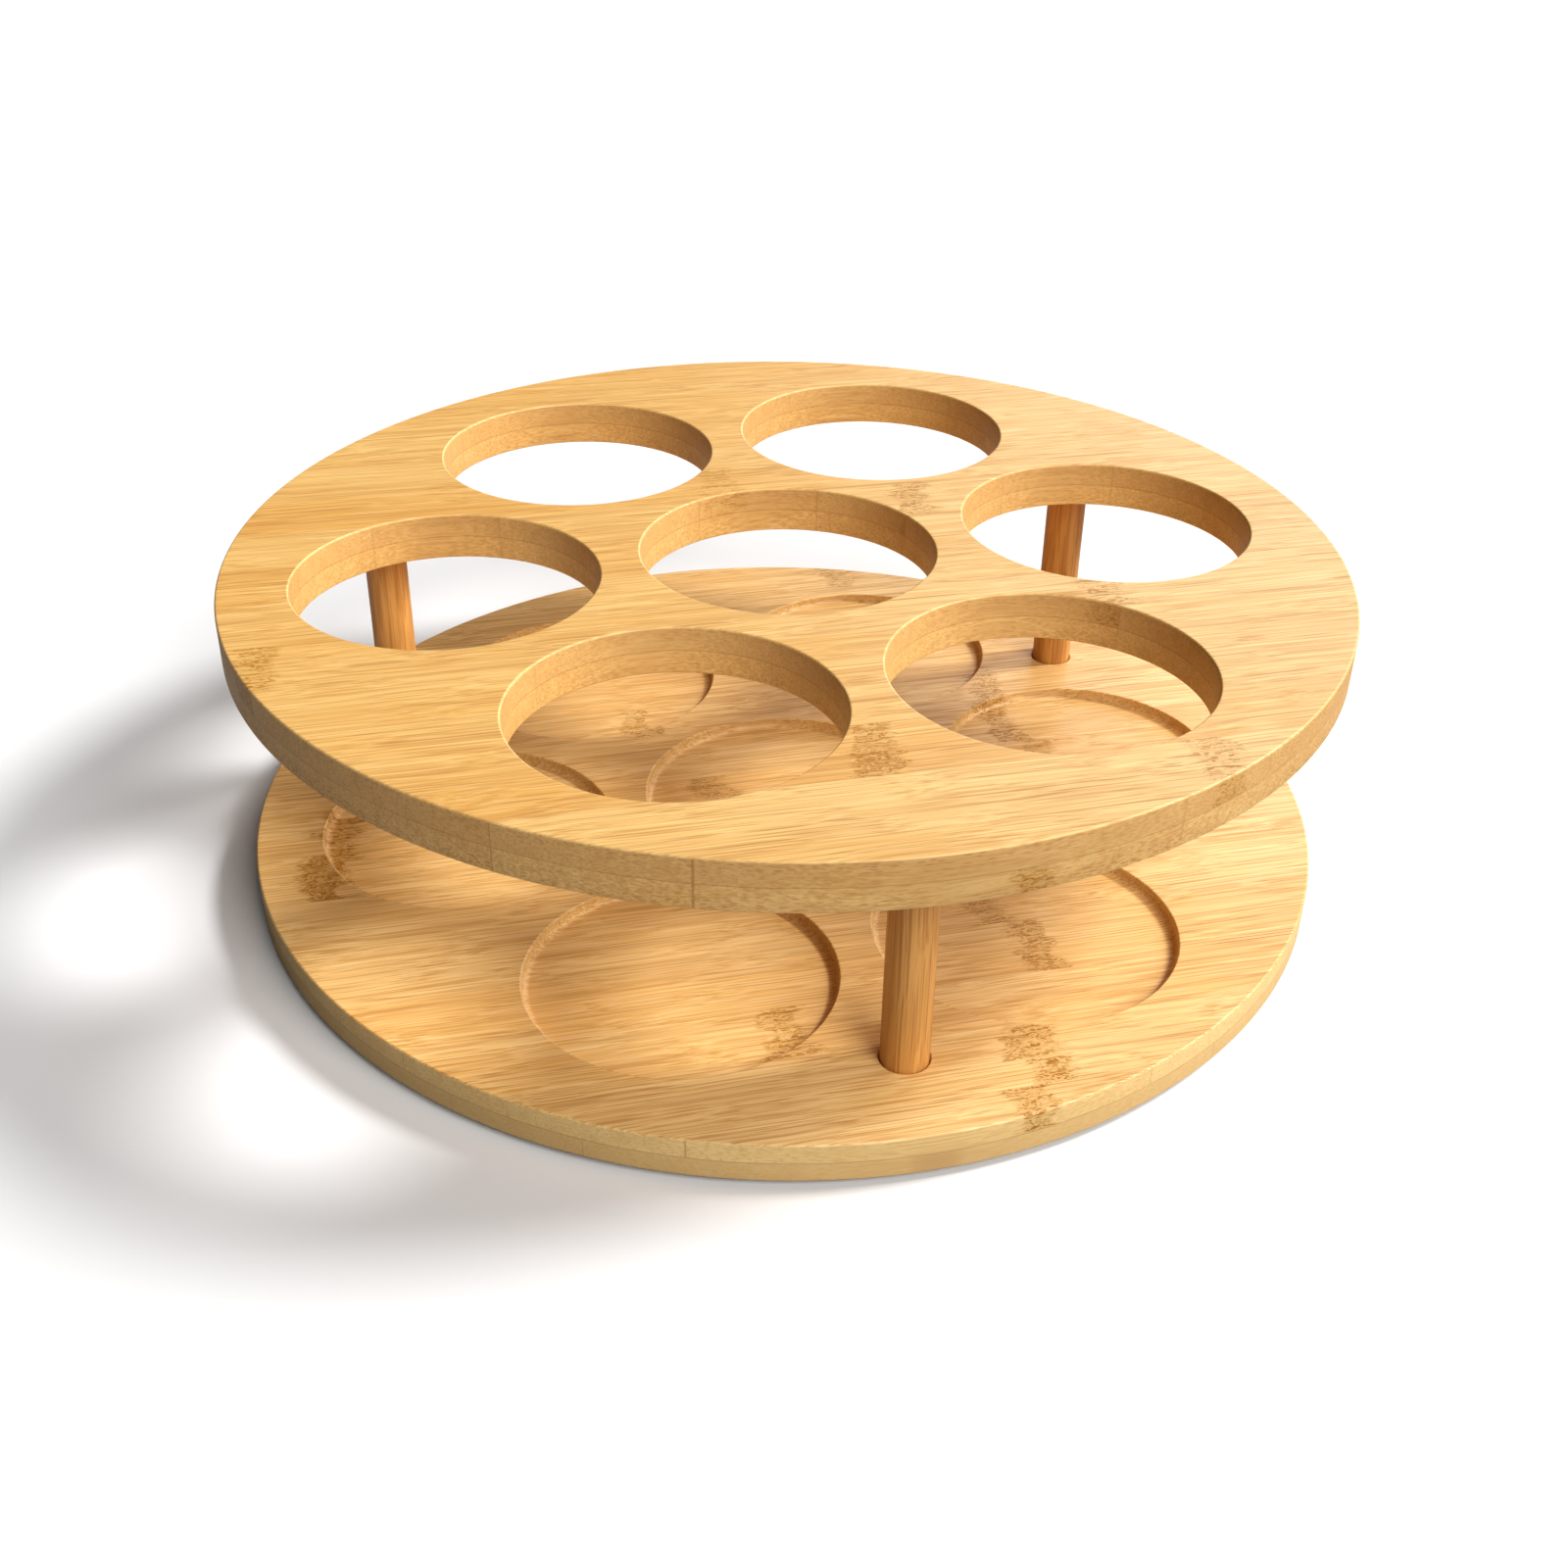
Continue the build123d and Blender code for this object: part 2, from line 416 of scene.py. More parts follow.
def faces_group() -> bpy.types.NodeTree:
    """Which faces of a board are cut upright walls, and where a rounded edge gets pale sanding and a
    painted highlight.
    """

    def build(g: Graph, given: Sockets) -> Sockets:
        """Tell the faces apart by how far they lean and how deep they lie in the board."""
        _, _, up = g.split(g.call("ShaderNodeNewGeometry", {}, "Normal"))
        lean = g.math("ABSOLUTE", up)
        rounded = g.product(g.fade(lean, 0.05, 0.3), g.fade(lean, 0.92, 0.998, 1.0, 0.0))
        full_depth = g.math("ADD", given["Rounding Depth"], 0.2 * MM)
        outer = g.fade(given["Depth"], given["Rounding Depth"], full_depth)
        wear_and_highlight_patches = g.noise(g.stretch(given["Vector"], *RIM_WEAR_AND_HIGHLIGHT), 2.0, 0.6)
        # The rim mask: pale sanding on the rounded edges, and a painted highlight along them.
        rim = g.product(rounded, outer, g.fade(wear_and_highlight_patches, 0.2, 0.6, 0.6, 1.0))
        return {"Rim": rim, "Wall": g.fade(lean, 0.1, 0.7, 1.0, 0.0)}

    return shader_group(
        "board_faces",
        {"Depth": 0.0, "Rounding Depth": 5.4 * MM},
        ("Rim", "Wall"),
        build,
    )


# --- Finishes ---

Colour = tuple[float, float, float, float]


def srgb(red: int, green: int, blue: int) -> Colour:
    """A linear colour from its display values, each 0 to 255."""

    def linear(level: int) -> float:
        """One channel."""
        share = level / 255
        return share / 12.92 if share <= 0.04045 else ((share + 0.055) / 1.055) ** 2.4

    return linear(red), linear(green), linear(blue), 1.0


def new_material(name: str) -> tuple[bpy.types.Material, Graph, bpy.types.Node]:
    """A material with only a Principled BSDF on its output.

    Args:
        name: The material's name.

    Returns:
        The material, the graph of its nodes and the Principled BSDF node.
    """
    material = bpy.data.materials.new(name)
    material.use_nodes = True
    graph = Graph(material.node_tree)
    return material, graph, material.node_tree.nodes["Principled BSDF"]


@dataclass(frozen=True)
class Knot:
    """One cane joint that shows in a board: its strip, where it lies along X and how strong it is."""

    row: int
    along: float
    strength: float = 1.0
    ply: Ply = Ply.UPPER
    half_length: float = 7 * MM


@dataclass(frozen=True)
class BambooColours:
    """The tints of pressed bamboo."""

    ground: Colour = srgb(239, 197, 127)
    warm: Colour = srgb(230, 175, 95)
    pale: Colour = srgb(246, 210, 146)
    bundle: Colour = srgb(186, 128, 62)
    thread: Colour = srgb(204, 152, 84)
    knot: Colour = srgb(170, 114, 16)
    seam: Colour = srgb(160, 104, 52)
    end_grain: Colour = srgb(170, 114, 62)
    browner: Colour = srgb(192, 140, 82)
    # Pale sanded wood on the cut walls, and the painted highlight on the rounded rims.
    sanded_and_highlight: Colour = srgb(246, 214, 150)


@dataclass(frozen=True)
class BambooMix:
    """How strongly each tint shows, as a share of the colour."""

    patch_warmth: float = 0.5
    strip_warmth: float = 0.2
    strip_warmth_on_top: float = 0.3
    front_strip: float = 0.3
    silk: float = 0.6
    band: float = 0.25
    thread: float = 0.7
    bundle: float = 0.5
    bundle_by_strip: float = 0.2
    bundle_on_walls: float = 0.4
    wall: float = 0.16
    wall_dash: float = 0.45
    knot: float = 0.3
    knot_bundle: float = 0.9
    knot_thread: float = 0.6
    seam: float = 0.22
    front_edge_seam: float = 0.35
    glue: float = 0.5
    # Pale sanding and painted highlight on the rounded rims.
    sanded_rim_and_highlight: float = 0.22


@dataclass(frozen=True)
class Gloss:
    """Lacquer over a fibre relief."""

    roughness: float = 0.44
    bundle_roughness: float = 0.12
    thread_roughness: float = 0.06
    specular: float = 0.6
    relief_strength: float = 0.35
    relief_depth: float = 0.05 * MM
    thread_relief: float = 0.5
    line_relief: float = 1.5


@dataclass(frozen=True)
class BoardFinish:
    """Lacquered two-ply bamboo board, strips side by side across Y."""

    name: str
    glue_height: float
    upper_shift: float
    lower_shift: float
    seed: float
    knots: tuple[Knot, ...]
    pale_row: int
    browner_ply: Ply
    wall_grain: float
    ply_contrast: float
    edge_paleness: float
    outer_radius: float
    hole_wall_grain: float = 0.7
    hole_wall_paleness: float = 0.16
    strip_width: float = 22 * MM
    colours: BambooColours = field(default_factory=BambooColours)
    shares: BambooMix = field(default_factory=BambooMix)
    gloss: Gloss = field(default_factory=Gloss)

    def knot_mask(self, g: Graph, place: Socket, strips: Sockets) -> Socket:
        """The knots of this board as one mask.

        Args:
            g: The material's graph.
            place: Object coordinates.
            strips: The outputs of the strips group.

        Returns:
            0 away from the knots, up to 1 on them.
        """
        mask: Value = 0.0
        for knot in self.knots:
            inputs = {
                "Vector": place,
                "Row": strips["Row"],
                "Ply": strips["Ply"],
                "Wanted Row": float(knot.row),
                "Wanted Ply": knot.ply.value,
                "Along": knot.along,
                "Half Length": knot.half_length,
                "Strength": knot.strength,
            }
            mask = g.math("MAXIMUM", mask, place_group(g, knot_group(), inputs)["Knot"])
        return mask

    def masks(self, g: Graph) -> Sockets:
        """What the colour and relief of a point depend on.

        Args:
            g: The material's graph.

        Returns:
            The outputs of the shared groups, with the masks that only boards have.
        """
        place = g.call("ShaderNodeTexCoord", {}, "Object")
        layout = {
            "Vector": place,
            "Strip Width": self.strip_width,
            "Upper Shift": self.upper_shift,
            "Lower Shift": self.lower_shift,
            "Glue Height": self.glue_height,
            "Seed": self.seed,
        }
        at = place_group(g, strips_group(), layout)
        at["Knot"] = self.knot_mask(g, place, at)
        at |= place_group(g, fibre_group(), {"Vector": place, "Strip": at["Strip"], "Knot": at["Knot"]})
        at |= place_group(g, faces_group(), {"Vector": place, "Depth": at["Depth"]})
        at["Top"] = g.math("SUBTRACT", 1.0, at["Wall"])
        at["Crowd"] = g.fade(at["Depth"], *CROWDING)
        at["Dense Bundle"] = g.product(at["Bundle"], at["Crowd"])
        at["Along"], sideways, _ = g.split(place)
        flat_place = g.join(at["Along"], sideways, 0.0)
        at["Reach"] = g.call("ShaderNodeVectorMath", {"Vector": flat_place}, "Value", operation="LENGTH")
        return at

    def fibres(self, g: Graph, at: Sockets) -> Socket:
        """The ground colour with its strips, threads and bundles.

        Args:
            g: The material's graph.
            at: The masks.

        Returns:
            The colour.
        """
        tints, shares = self.colours, self.shares
        chance = g.add("ShaderNodeTexWhiteNoise", noise_dimensions="1D")
        g.feed(chance.inputs["W"], at["Strip"])
        tint, strength, _ = g.split(chance.outputs["Color"])
        by_strip = g.math("MULTIPLY_ADD", at["Top"], shares.strip_warmth_on_top, shares.strip_warmth)
        spread = g.product(tint, by_strip)
        warmth = g.math("MULTIPLY_ADD", g.fade(at["Patch"], 0.3, 0.7), shares.patch_warmth, spread)
        colour = g.mix(warmth, tints.ground, tints.warm)
        front = g.math("COMPARE", at["Row"], float(self.pale_row), SAME)
        colour = g.mix(g.product(front, at["Top"], shares.front_strip), colour, tints.pale)
        layers = (
            ("Silk", shares.silk, tints.pale),
            ("Band", shares.band, tints.bundle),
            ("Thread", shares.thread, tints.thread),
        )
        for mask, share, over in layers:
            colour = g.mix(g.product(at[mask], share), colour, over)
        dark = g.math("MULTIPLY_ADD", strength, shares.bundle_by_strip, shares.bundle)
        on_top = g.math("MULTIPLY_ADD", at["Top"], 1.0 - shares.bundle_on_walls, shares.bundle_on_walls)
        return g.mix(g.product(at["Dense Bundle"], dark, on_top), colour, tints.bundle)

    def upright(self, g: Graph, at: Sockets, colour: Socket) -> Socket:
        """The cut edge and the hole walls: darker dashes, one browner ply, paler from sanding.

        Args:
            g: The material's graph.
            at: The masks.
            colour: The colour so far.

        Returns:
            The colour.
        """
        tints, shares = self.colours, self.shares
        inner, outer = (self.outer_radius - inset for inset in EDGE_ZONE)
        dash = g.product(at["Dash"], at["Crowd"], g.fade(at["Patch"], 0.3, 0.6, 0.4, 1.0))
        grain = g.math("MULTIPLY_ADD", dash, shares.wall_dash, shares.wall)
        by_place = g.fade(at["Reach"], inner, outer, self.hole_wall_grain)
        grain = g.product(at["Wall"], grain, by_place, self.wall_grain)
        colour = g.mix(grain, colour, tints.end_grain)
        browner = g.math("COMPARE", at["Ply"], self.browner_ply.value, SAME)
        colour = g.mix(g.product(browner, at["Wall"], self.ply_contrast), colour, tints.browner)
        paleness = g.fade(at["Reach"], inner, outer, self.hole_wall_paleness, self.edge_paleness)
        return g.mix(g.product(at["Wall"], paleness), colour, tints.sanded_and_highlight)

    def seams(self, g: Graph, at: Sockets) -> Socket:
        """The glue lines, strongest on the front left of the edge.

        Args:
            g: The material's graph.
            at: The masks.

        Returns:
            The lines as one mask.
        """
        shares = self.shares
        outermost = g.math("LESS_THAN", at["Row"], self.pale_row + 0.5)
        on_edge = g.product(at["Wall"], outermost, g.math("LESS_THAN", at["Along"], 0.0))
        strength = g.math("MULTIPLY_ADD", on_edge, shares.front_edge_seam, shares.seam)
        seam = g.product(at["Seam"], strength)
        return g.math("MAXIMUM", seam, g.product(at["Glue"], shares.glue))

    def material(self) -> bpy.types.Material:
        """The board's material."""
        material, g, surface = new_material(self.name)
        tints, shares, gloss = self.colours, self.shares, self.gloss
        at = self.masks(g)
        colour = self.upright(g, at, self.fibres(g, at))
        spots = g.product(at["Thread"], shares.knot_thread)
        spots = g.math("MULTIPLY_ADD", at["Bundle"], shares.knot_bundle, spots)
        spots = g.math("ADD", spots, shares.knot)
        colour = g.mix(g.math("MULTIPLY", at["Knot"], spots, clamp=True), colour, tints.knot)
        lines = self.seams(g, at)
        colour = g.mix(lines, colour, tints.seam)
        # Pale sanding on the rounded rims, with a painted highlight over it.
        colour = g.mix(g.product(at["Rim"], shares.sanded_rim_and_highlight), colour, tints.sanded_and_highlight)
        g.feed(surface.inputs["Base Color"], colour)

        rough = g.math("MULTIPLY_ADD", at["Thread"], gloss.thread_roughness, gloss.roughness)
        rough = g.math("MULTIPLY_ADD", at["Dense Bundle"], gloss.bundle_roughness, rough)
        g.feed(surface.inputs["Roughness"], rough)
        surface.inputs["Specular IOR Level"].default_value = gloss.specular
        grooves = g.math("MULTIPLY_ADD", at["Thread"], gloss.thread_relief, at["Dense Bundle"])
        grooves = g.math("MULTIPLY_ADD", lines, gloss.line_relief, grooves)
        relief = g.product(grooves, -1.0)
        g.feed(surface.inputs["Normal"], g.bump(relief, gloss.relief_strength, gloss.relief_depth))
        return material


@dataclass(frozen=True)
class PostFinish:
    """Turned bamboo rod, its fibres upright and a shade browner than the boards."""

    name: str = "turned_bamboo"
    pale: Colour = srgb(222, 168, 98)
    dark: Colour = srgb(166, 106, 48)
    streaks: Density = (16.0, 520.0, 520.0)
    thread_share: float = 0.35
    bundle_share: float = 0.55
    roughness: float = 0.38
    seed: float = 3.0

    def material(self) -> bpy.types.Material:
        """The posts' material."""
        material, g, surface = new_material(self.name)
        x, y, z = g.split(g.call("ShaderNodeTexCoord", {}, "Object"))
        place = g.join(z, x, y)
        fibre = place_group(g, fibre_group(), {"Vector": place, "Strip": self.seed})
        grain = g.noise(g.stretch(place, *self.streaks), 3.0, 0.6)
        colour = g.mix(g.fade(grain, 0.35, 0.75, 0.0, 0.55), self.pale, self.dark)
        colour = g.mix(g.product(fibre["Thread"], self.thread_share), colour, self.dark)
        colour = g.mix(g.product(fibre["Bundle"], self.bundle_share), colour, self.dark)
        g.feed(surface.inputs["Base Color"], colour)
        g.feed(surface.inputs["Roughness"], g.math("MULTIPLY_ADD", fibre["Bundle"], 0.12, self.roughness))
        relief = g.math("SUBTRACT", 1.0, fibre["Bundle"])
        g.feed(surface.inputs["Normal"], g.bump(relief, 0.4, 0.06 * MM))
        return material


@dataclass(frozen=True)
class SteelFinish:
    """Zinc-plated steel with fine turning marks."""

    name: str = "plated_steel"
    bright: Colour = srgb(190, 190, 186)
    dull: Colour = srgb(150, 148, 142)
    marks: Density = (900.0, 900.0, 3000.0)

    def material(self) -> bpy.types.Material:
        """The screws' material."""
        material, g, surface = new_material(self.name)
        place = g.call("ShaderNodeTexCoord", {}, "Object")
        cloud = g.noise(g.stretch(place, *self.marks), 3.0, 0.6)
        g.feed(surface.inputs["Base Color"], g.mix(g.fade(cloud, 0.3, 0.7), self.bright, self.dull))
        g.feed(surface.inputs["Roughness"], g.fade(cloud, 0.2, 0.8, 0.25, 0.45))
        surface.inputs["Metallic"].default_value = 1.0
        return material


@dataclass(frozen=True)
class RubberFinish:
    """Dark moulded rubber with a fine grain."""

    name: str = "soft_rubber"
    dark: Colour = srgb(52, 50, 47)
    pale: Colour = srgb(66, 63, 60)
    grain: Density = (2500.0, 2500.0, 2500.0)

    def material(self) -> bpy.types.Material:
        """The pads' material."""
        material, g, surface = new_material(self.name)
        place = g.call("ShaderNodeTexCoord", {}, "Object")
        grain = g.noise(g.stretch(place, *self.grain), 2.0, 0.6)
        g.feed(surface.inputs["Base Color"], g.mix(g.fade(grain, 0.3, 0.7), self.dark, self.pale))
        g.feed(surface.inputs["Roughness"], g.fade(grain, 0.2, 0.8, 0.6, 0.8))
        g.feed(surface.inputs["Normal"], g.bump(grain, 0.3, 0.05 * MM))
        return material


# --- Geometry trees ---

GEOMETRY, WHOLE = "NodeSocketGeometry", "NodeSocketInt"
MERGE_DISTANCE = 0.001 * MM


class Shaper(Graph):
    """Builds one geometry tree with named inputs and bakes it to a plain mesh."""

    def __init__(self, name: str, sizes: dict[str, float | int], material: bpy.types.Material) -> None:
        """Start the tree.

        Args:
            name: The tree's name, which the baked object also gets.
            sizes: Named inputs with the values that they are set to.
            material: The material that the tree gives to all it makes.
        """
        super().__init__(bpy.data.node_groups.new(name, "GeometryNodeTree"))
        self.sizes = sizes
        self.material = material
        for title, value in sizes.items():
            kind = WHOLE if isinstance(value, int) else NUMBER
            self.tree.interface.new_socket(title, in_out="INPUT", socket_type=kind)
        self.tree.interface.new_socket("Geometry", in_out="OUTPUT", socket_type=GEOMETRY)
        self.given = {s.name: s for s in self.add("NodeGroupInput").outputs if s.name}

    def circle(self, radius: Value, segments: Value) -> Socket:
        """A circle about Z, as a curve."""
        inputs = {"Radius": radius, "Resolution": segments}
        return self.call("GeometryNodeCurvePrimitiveCircle", inputs, "Curve")

    def gather(self, *parts: Socket) -> Socket:
        """Several geometries as one."""
        node = self.add("GeometryNodeJoinGeometry")
        for part in reversed(parts):
            self.tree.links.new(part, node.inputs[0])
        return node.outputs[0]

    def raised(self, shape: Socket, height: Value) -> Socket:
        """A geometry moved up to a height."""
        lift = self.join(0.0, 0.0, height)
        return self.call("GeometryNodeTransform", {"Geometry": shape, "Translation": lift}, "Geometry")

    def ring_points(self, radius: Value, count: Value, start: float, middle: bool) -> Socket:
        """Points evenly round a circle.

        Args:
            radius: The circle's radius.
            count: How many points there are.
            start: The first one's angle from +X, in radians.
            middle: Whether one more point stands at the middle.

        Returns:
            The points.
        """
        ring = self.call("GeometryNodeMeshCircle", {"Vertices": count, "Radius": radius}, "Mesh")
        turn = {"Geometry": ring, "Rotation": (0.0, 0.0, start)}
        ring = self.call("GeometryNodeTransform", turn, "Geometry")
        if not middle:
            return ring
        return self.gather(ring, self.call("GeometryNodePoints", {"Count": 1}, "Points"))

    def copies(self, points: Socket, shape: Socket) -> Socket:
        """A copy of a shape on every point, made real."""
        inputs = {"Points": points, "Instance": shape}
        placed = self.call("GeometryNodeInstanceOnPoints", inputs, "Instances")
        return self.call("GeometryNodeRealizeInstances", {"Geometry": placed}, "Geometry")

    def wall(
        self,
        outline: Sequence[tuple[Value, Value]],
        roundings: tuple[Value, Value],
        segments: Value,
        steps: int,
    ) -> Socket:
        """A wall turned about Z from an outline of four points, smooth round the turn.

        The faces look away from the axis where the outline runs down, and to it where it runs up.

        Args:
            outline: Radius and height of each point.
            roundings: Radii of the roundings at the second and the third point.
            segments: Faces round the turn.
            steps: Faces in each rounding.

        Returns:
            The wall as a mesh.
        """
        path_radius = outline[1][0]
        corners = {}
        for number, (radius, height) in enumerate(outline, 1):
            run = self.math("SUBTRACT", radius, path_radius)
            corners[f"Point {number}"] = self.join(run, self.product(height, -1.0), 0.0)
        line = self.call("GeometryNodeCurvePrimitiveQuadrilateral", corners, "Curve", mode="POINTS")
        line = self.call("GeometryNodeSetSplineCyclic", {"Geometry": line, "Cyclic": False}, "Geometry")
        index = self.call("GeometryNodeInputIndex", {}, "Index")
        first = self.math("COMPARE", index, 1.0, SAME)
        second = self.math("COMPARE", index, 2.0, SAME)
        radius = self.product(second, roundings[1])
        radius = self.math("MULTIPLY_ADD", first, roundings[0], radius)
        fillet = {"Curve": line, "Count": steps, "Radius": radius, "Limit Radius": True}
        line = self.call("GeometryNodeFilletCurve", fillet, "Curve", mode="POLY")
        path = self.circle(path_radius, segments)
        mesh = self.call("GeometryNodeCurveToMesh", {"Curve": path, "Profile Curve": line}, "Mesh")
        soft = {"Geometry": mesh, "Shade Smooth": True}
        return self.call("GeometryNodeSetShadeSmooth", soft, "Geometry")

    def flat(self, outlines: Sequence[Socket], height: Value, looks_up: bool) -> Socket:
        """A flat face between closed curves, with a hole wherever one lies inside another.

        Args:
            outlines: The curves, at height 0.
            height: The face's height.
            looks_up: Whether the face looks up and not down.

        Returns:
            The face as a mesh.
        """
        outline = {"Curve": self.gather(*outlines)}
        face = self.call("GeometryNodeFillCurve", outline, "Mesh", mode="TRIANGLES")
        if not looks_up:
            face = self.call("GeometryNodeFlipFaces", {"Mesh": face}, "Mesh")
        hard = {"Geometry": face, "Shade Smooth": False}
        face = self.call("GeometryNodeSetShadeSmooth", hard, "Geometry")
        return self.raised(face, height)

    def bake(self, parts: Sequence[Socket], title: str) -> bpy.types.Object:
        """Close the tree, run it and keep the result as a plain mesh.

        Args:
            parts: The geometries that make up the piece.
            title: The piece's name.

        Returns:
            The piece's object.
        """
        whole = self.call("GeometryNodeRealizeInstances", {"Geometry": self.gather(*parts)}, "Geometry")
        merge = {"Geometry": whole, "Distance": MERGE_DISTANCE}
        whole = self.call("GeometryNodeMergeByDistance", merge, "Geometry")
        dress = {"Geometry": whole, "Material": self.material}
        whole = self.call("GeometryNodeSetMaterial", dress, "Geometry")
        self.feed(self.add("NodeGroupOutput").inputs["Geometry"], whole)
        piece = stand(title, bpy.data.meshes.new(title))
        maker = piece.modifiers.new("shape", "NODES")
        maker.node_group = self.tree
        for item in self.tree.interface.items_tree:
            if item.in_out == "INPUT":
                maker[item.identifier] = self.sizes[item.name]
        seen = piece.evaluated_get(bpy.context.evaluated_depsgraph_get())
        mesh = bpy.data.meshes.new_from_object(seen)
        piece.modifiers.remove(maker)
        piece.data = mesh
        mesh.name = title
        return piece


# --- Pieces ---

SIDES = ("front", "right", "left")
ROUND_SEGMENTS = 384
CUP_SEGMENTS = 192
SMALL_SEGMENTS = 64
ROUNDING_STEPS = 6
POST_SEGMENTS = 96
SHARP_ANGLE = radians(30)


@dataclass(frozen=True)
class Plan:
    """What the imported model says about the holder's layout."""

    cup_radius: float
    cup_ring_radius: float
    cups_in_ring: int
    tier_radius: float
    post_ring_radius: float
    posts: int
    first_post: float
    lower_bottom: float
    lower_top: float
    socket_floor: float
    upper_bottom: float
    socket_end: float
    upper_top: float

    @classmethod
    def read(cls, record: dict) -> "Plan":
        """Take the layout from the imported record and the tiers' boxes.

        Args:
            record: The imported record.

        Returns:
            The layout.
        """
        holes = [m for m in record["mounts"] if m["kind"] == "bore"]
        reach = max(Vector(m["pos_m"]).xy.length for m in holes)
        upper_low, upper_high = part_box("upper_tier")
        lower_low, lower_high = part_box("lower_tier")
        post_low, post_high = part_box(f"post_{SIDES[0]}")
        post = (post_low + post_high) / 2
        return cls(
            cup_radius=holes[0]["dims"]["r_mm"] * MM,
            cup_ring_radius=reach,
            cups_in_ring=len(holes) - 1,
            tier_radius=upper_high.x,
            post_ring_radius=post.xy.length,
            posts=len(SIDES),
            first_post=atan2(post.y, post.x),
            lower_bottom=lower_low.z,
            lower_top=lower_high.z,
            socket_floor=post_low.z,
            upper_bottom=upper_low.z,
            socket_end=post_high.z,
            upper_top=upper_high.z,
        )


@dataclass
class Tier:
    """What both tiers share: a disc with a rounded edge and a pattern of cup places."""

    plan: Plan
    edge_rounding: float = 0.6 * MM
    post_radius: float = 6.0 * MM
    socket_clearance: float = 0.2 * MM
    mouth_chamfer: float = 0.4 * MM

    @property
    def socket_radius(self) -> float:
        """The radius of a post's socket."""
        return self.post_radius + self.socket_clearance

    def shaper(self, name: str, own: dict[str, float], material: bpy.types.Material) -> Shaper:
        """Start a tier's tree.

        Args:
            name: The tree's name.
            own: The inputs that only this tier has.
            material: The board's material.

        Returns:
            The tree, with the inputs that both tiers have and its own.
        """
        shared = {
            "Tier Radius": self.plan.tier_radius,
            "Edge Rounding": self.edge_rounding,
            "Cup Radius": self.plan.cup_radius,
            "Cup Ring Radius": self.plan.cup_ring_radius,
            "Cups In Ring": self.plan.cups_in_ring,
            "Post Ring Radius": self.plan.post_ring_radius,
            "Posts": self.plan.posts,
            "Socket Radius": self.socket_radius,
            "Mouth Chamfer": self.mouth_chamfer,
        }
        return Shaper(name, {**shared, **own}, material)

    def cup_places(self, s: Shaper) -> Socket:
        """A point at the middle of every cup hole."""
        return s.ring_points(s.given["Cup Ring Radius"], s.given["Cups In Ring"], 0.0, True)

    def post_places(self, s: Shaper) -> Socket:
        """A point on the axis of every post."""
        first = self.plan.first_post
        return s.ring_points(s.given["Post Ring Radius"], s.given["Posts"], first, False)

    def rim(self, s: Shaper) -> Socket:
        """The outline of the tier's flat faces, inside the rounded edge."""
        radius = s.math("SUBTRACT", s.given["Tier Radius"], s.given["Edge Rounding"])
        return s.circle(radius, ROUND_SEGMENTS)

    def outer_wall(self, s: Shaper, bottom: Value, top: Value) -> Socket:
        """The tier's round outer edge, from its top down."""
        radius, rounding = s.given["Tier Radius"], s.given["Edge Rounding"]
        inner = s.math("SUBTRACT", radius, rounding)
        outline = ((inner, top), (radius, top), (radius, bottom), (inner, bottom))
        return s.wall(outline, (rounding, rounding), ROUND_SEGMENTS, ROUNDING_STEPS)


@dataclass
class UpperTier(Tier):
    """The upper board with its through holes, and blind sockets in its underside."""

    def build(self, material: bpy.types.Material) -> bpy.types.Object:
        """Make the upper tier.

        Args:
            material: The board's material.

        Returns:
            The finished piece.
        """
        own = {
            "Bottom": self.plan.upper_bottom,
            "Top": self.plan.upper_top,
            "Socket End": self.plan.socket_end,
        }
        s = self.shaper("upper_tier_shape", own, material)
        bottom, top, end = s.given["Bottom"], s.given["Top"], s.given["Socket End"]
        cup, rounding = s.given["Cup Radius"], s.given["Edge Rounding"]
        cups, posts = self.cup_places(s), self.post_places(s)
        mouth = s.math("ADD", cup, rounding)
        outline = ((mouth, bottom), (cup, bottom), (cup, top), (mouth, top))
        hole = s.wall(outline, (rounding, rounding), CUP_SEGMENTS, ROUNDING_STEPS)
        socket, chamfer = s.given["Socket Radius"], s.given["Mouth Chamfer"]
        wide = s.math("ADD", socket, chamfer)
        outline = ((wide, bottom), (socket, bottom), (socket, end), (socket, end))
        pocket = s.wall(outline, (chamfer, 0.0), SMALL_SEGMENTS, 1)
        roof = s.flat([s.circle(socket, SMALL_SEGMENTS)], end, looks_up=False)
        rim = self.rim(s)
        holes = s.copies(cups, s.circle(mouth, CUP_SEGMENTS))
        sockets = s.copies(posts, s.circle(wide, SMALL_SEGMENTS))
        parts = [
            self.outer_wall(s, bottom, top),
            s.copies(cups, hole),
            s.copies(posts, s.gather(pocket, roof)),
            s.flat([rim, holes], top, looks_up=True),
            s.flat([rim, holes, sockets], bottom, looks_up=False),
        ]
        return s.bake(parts, "upper_board")


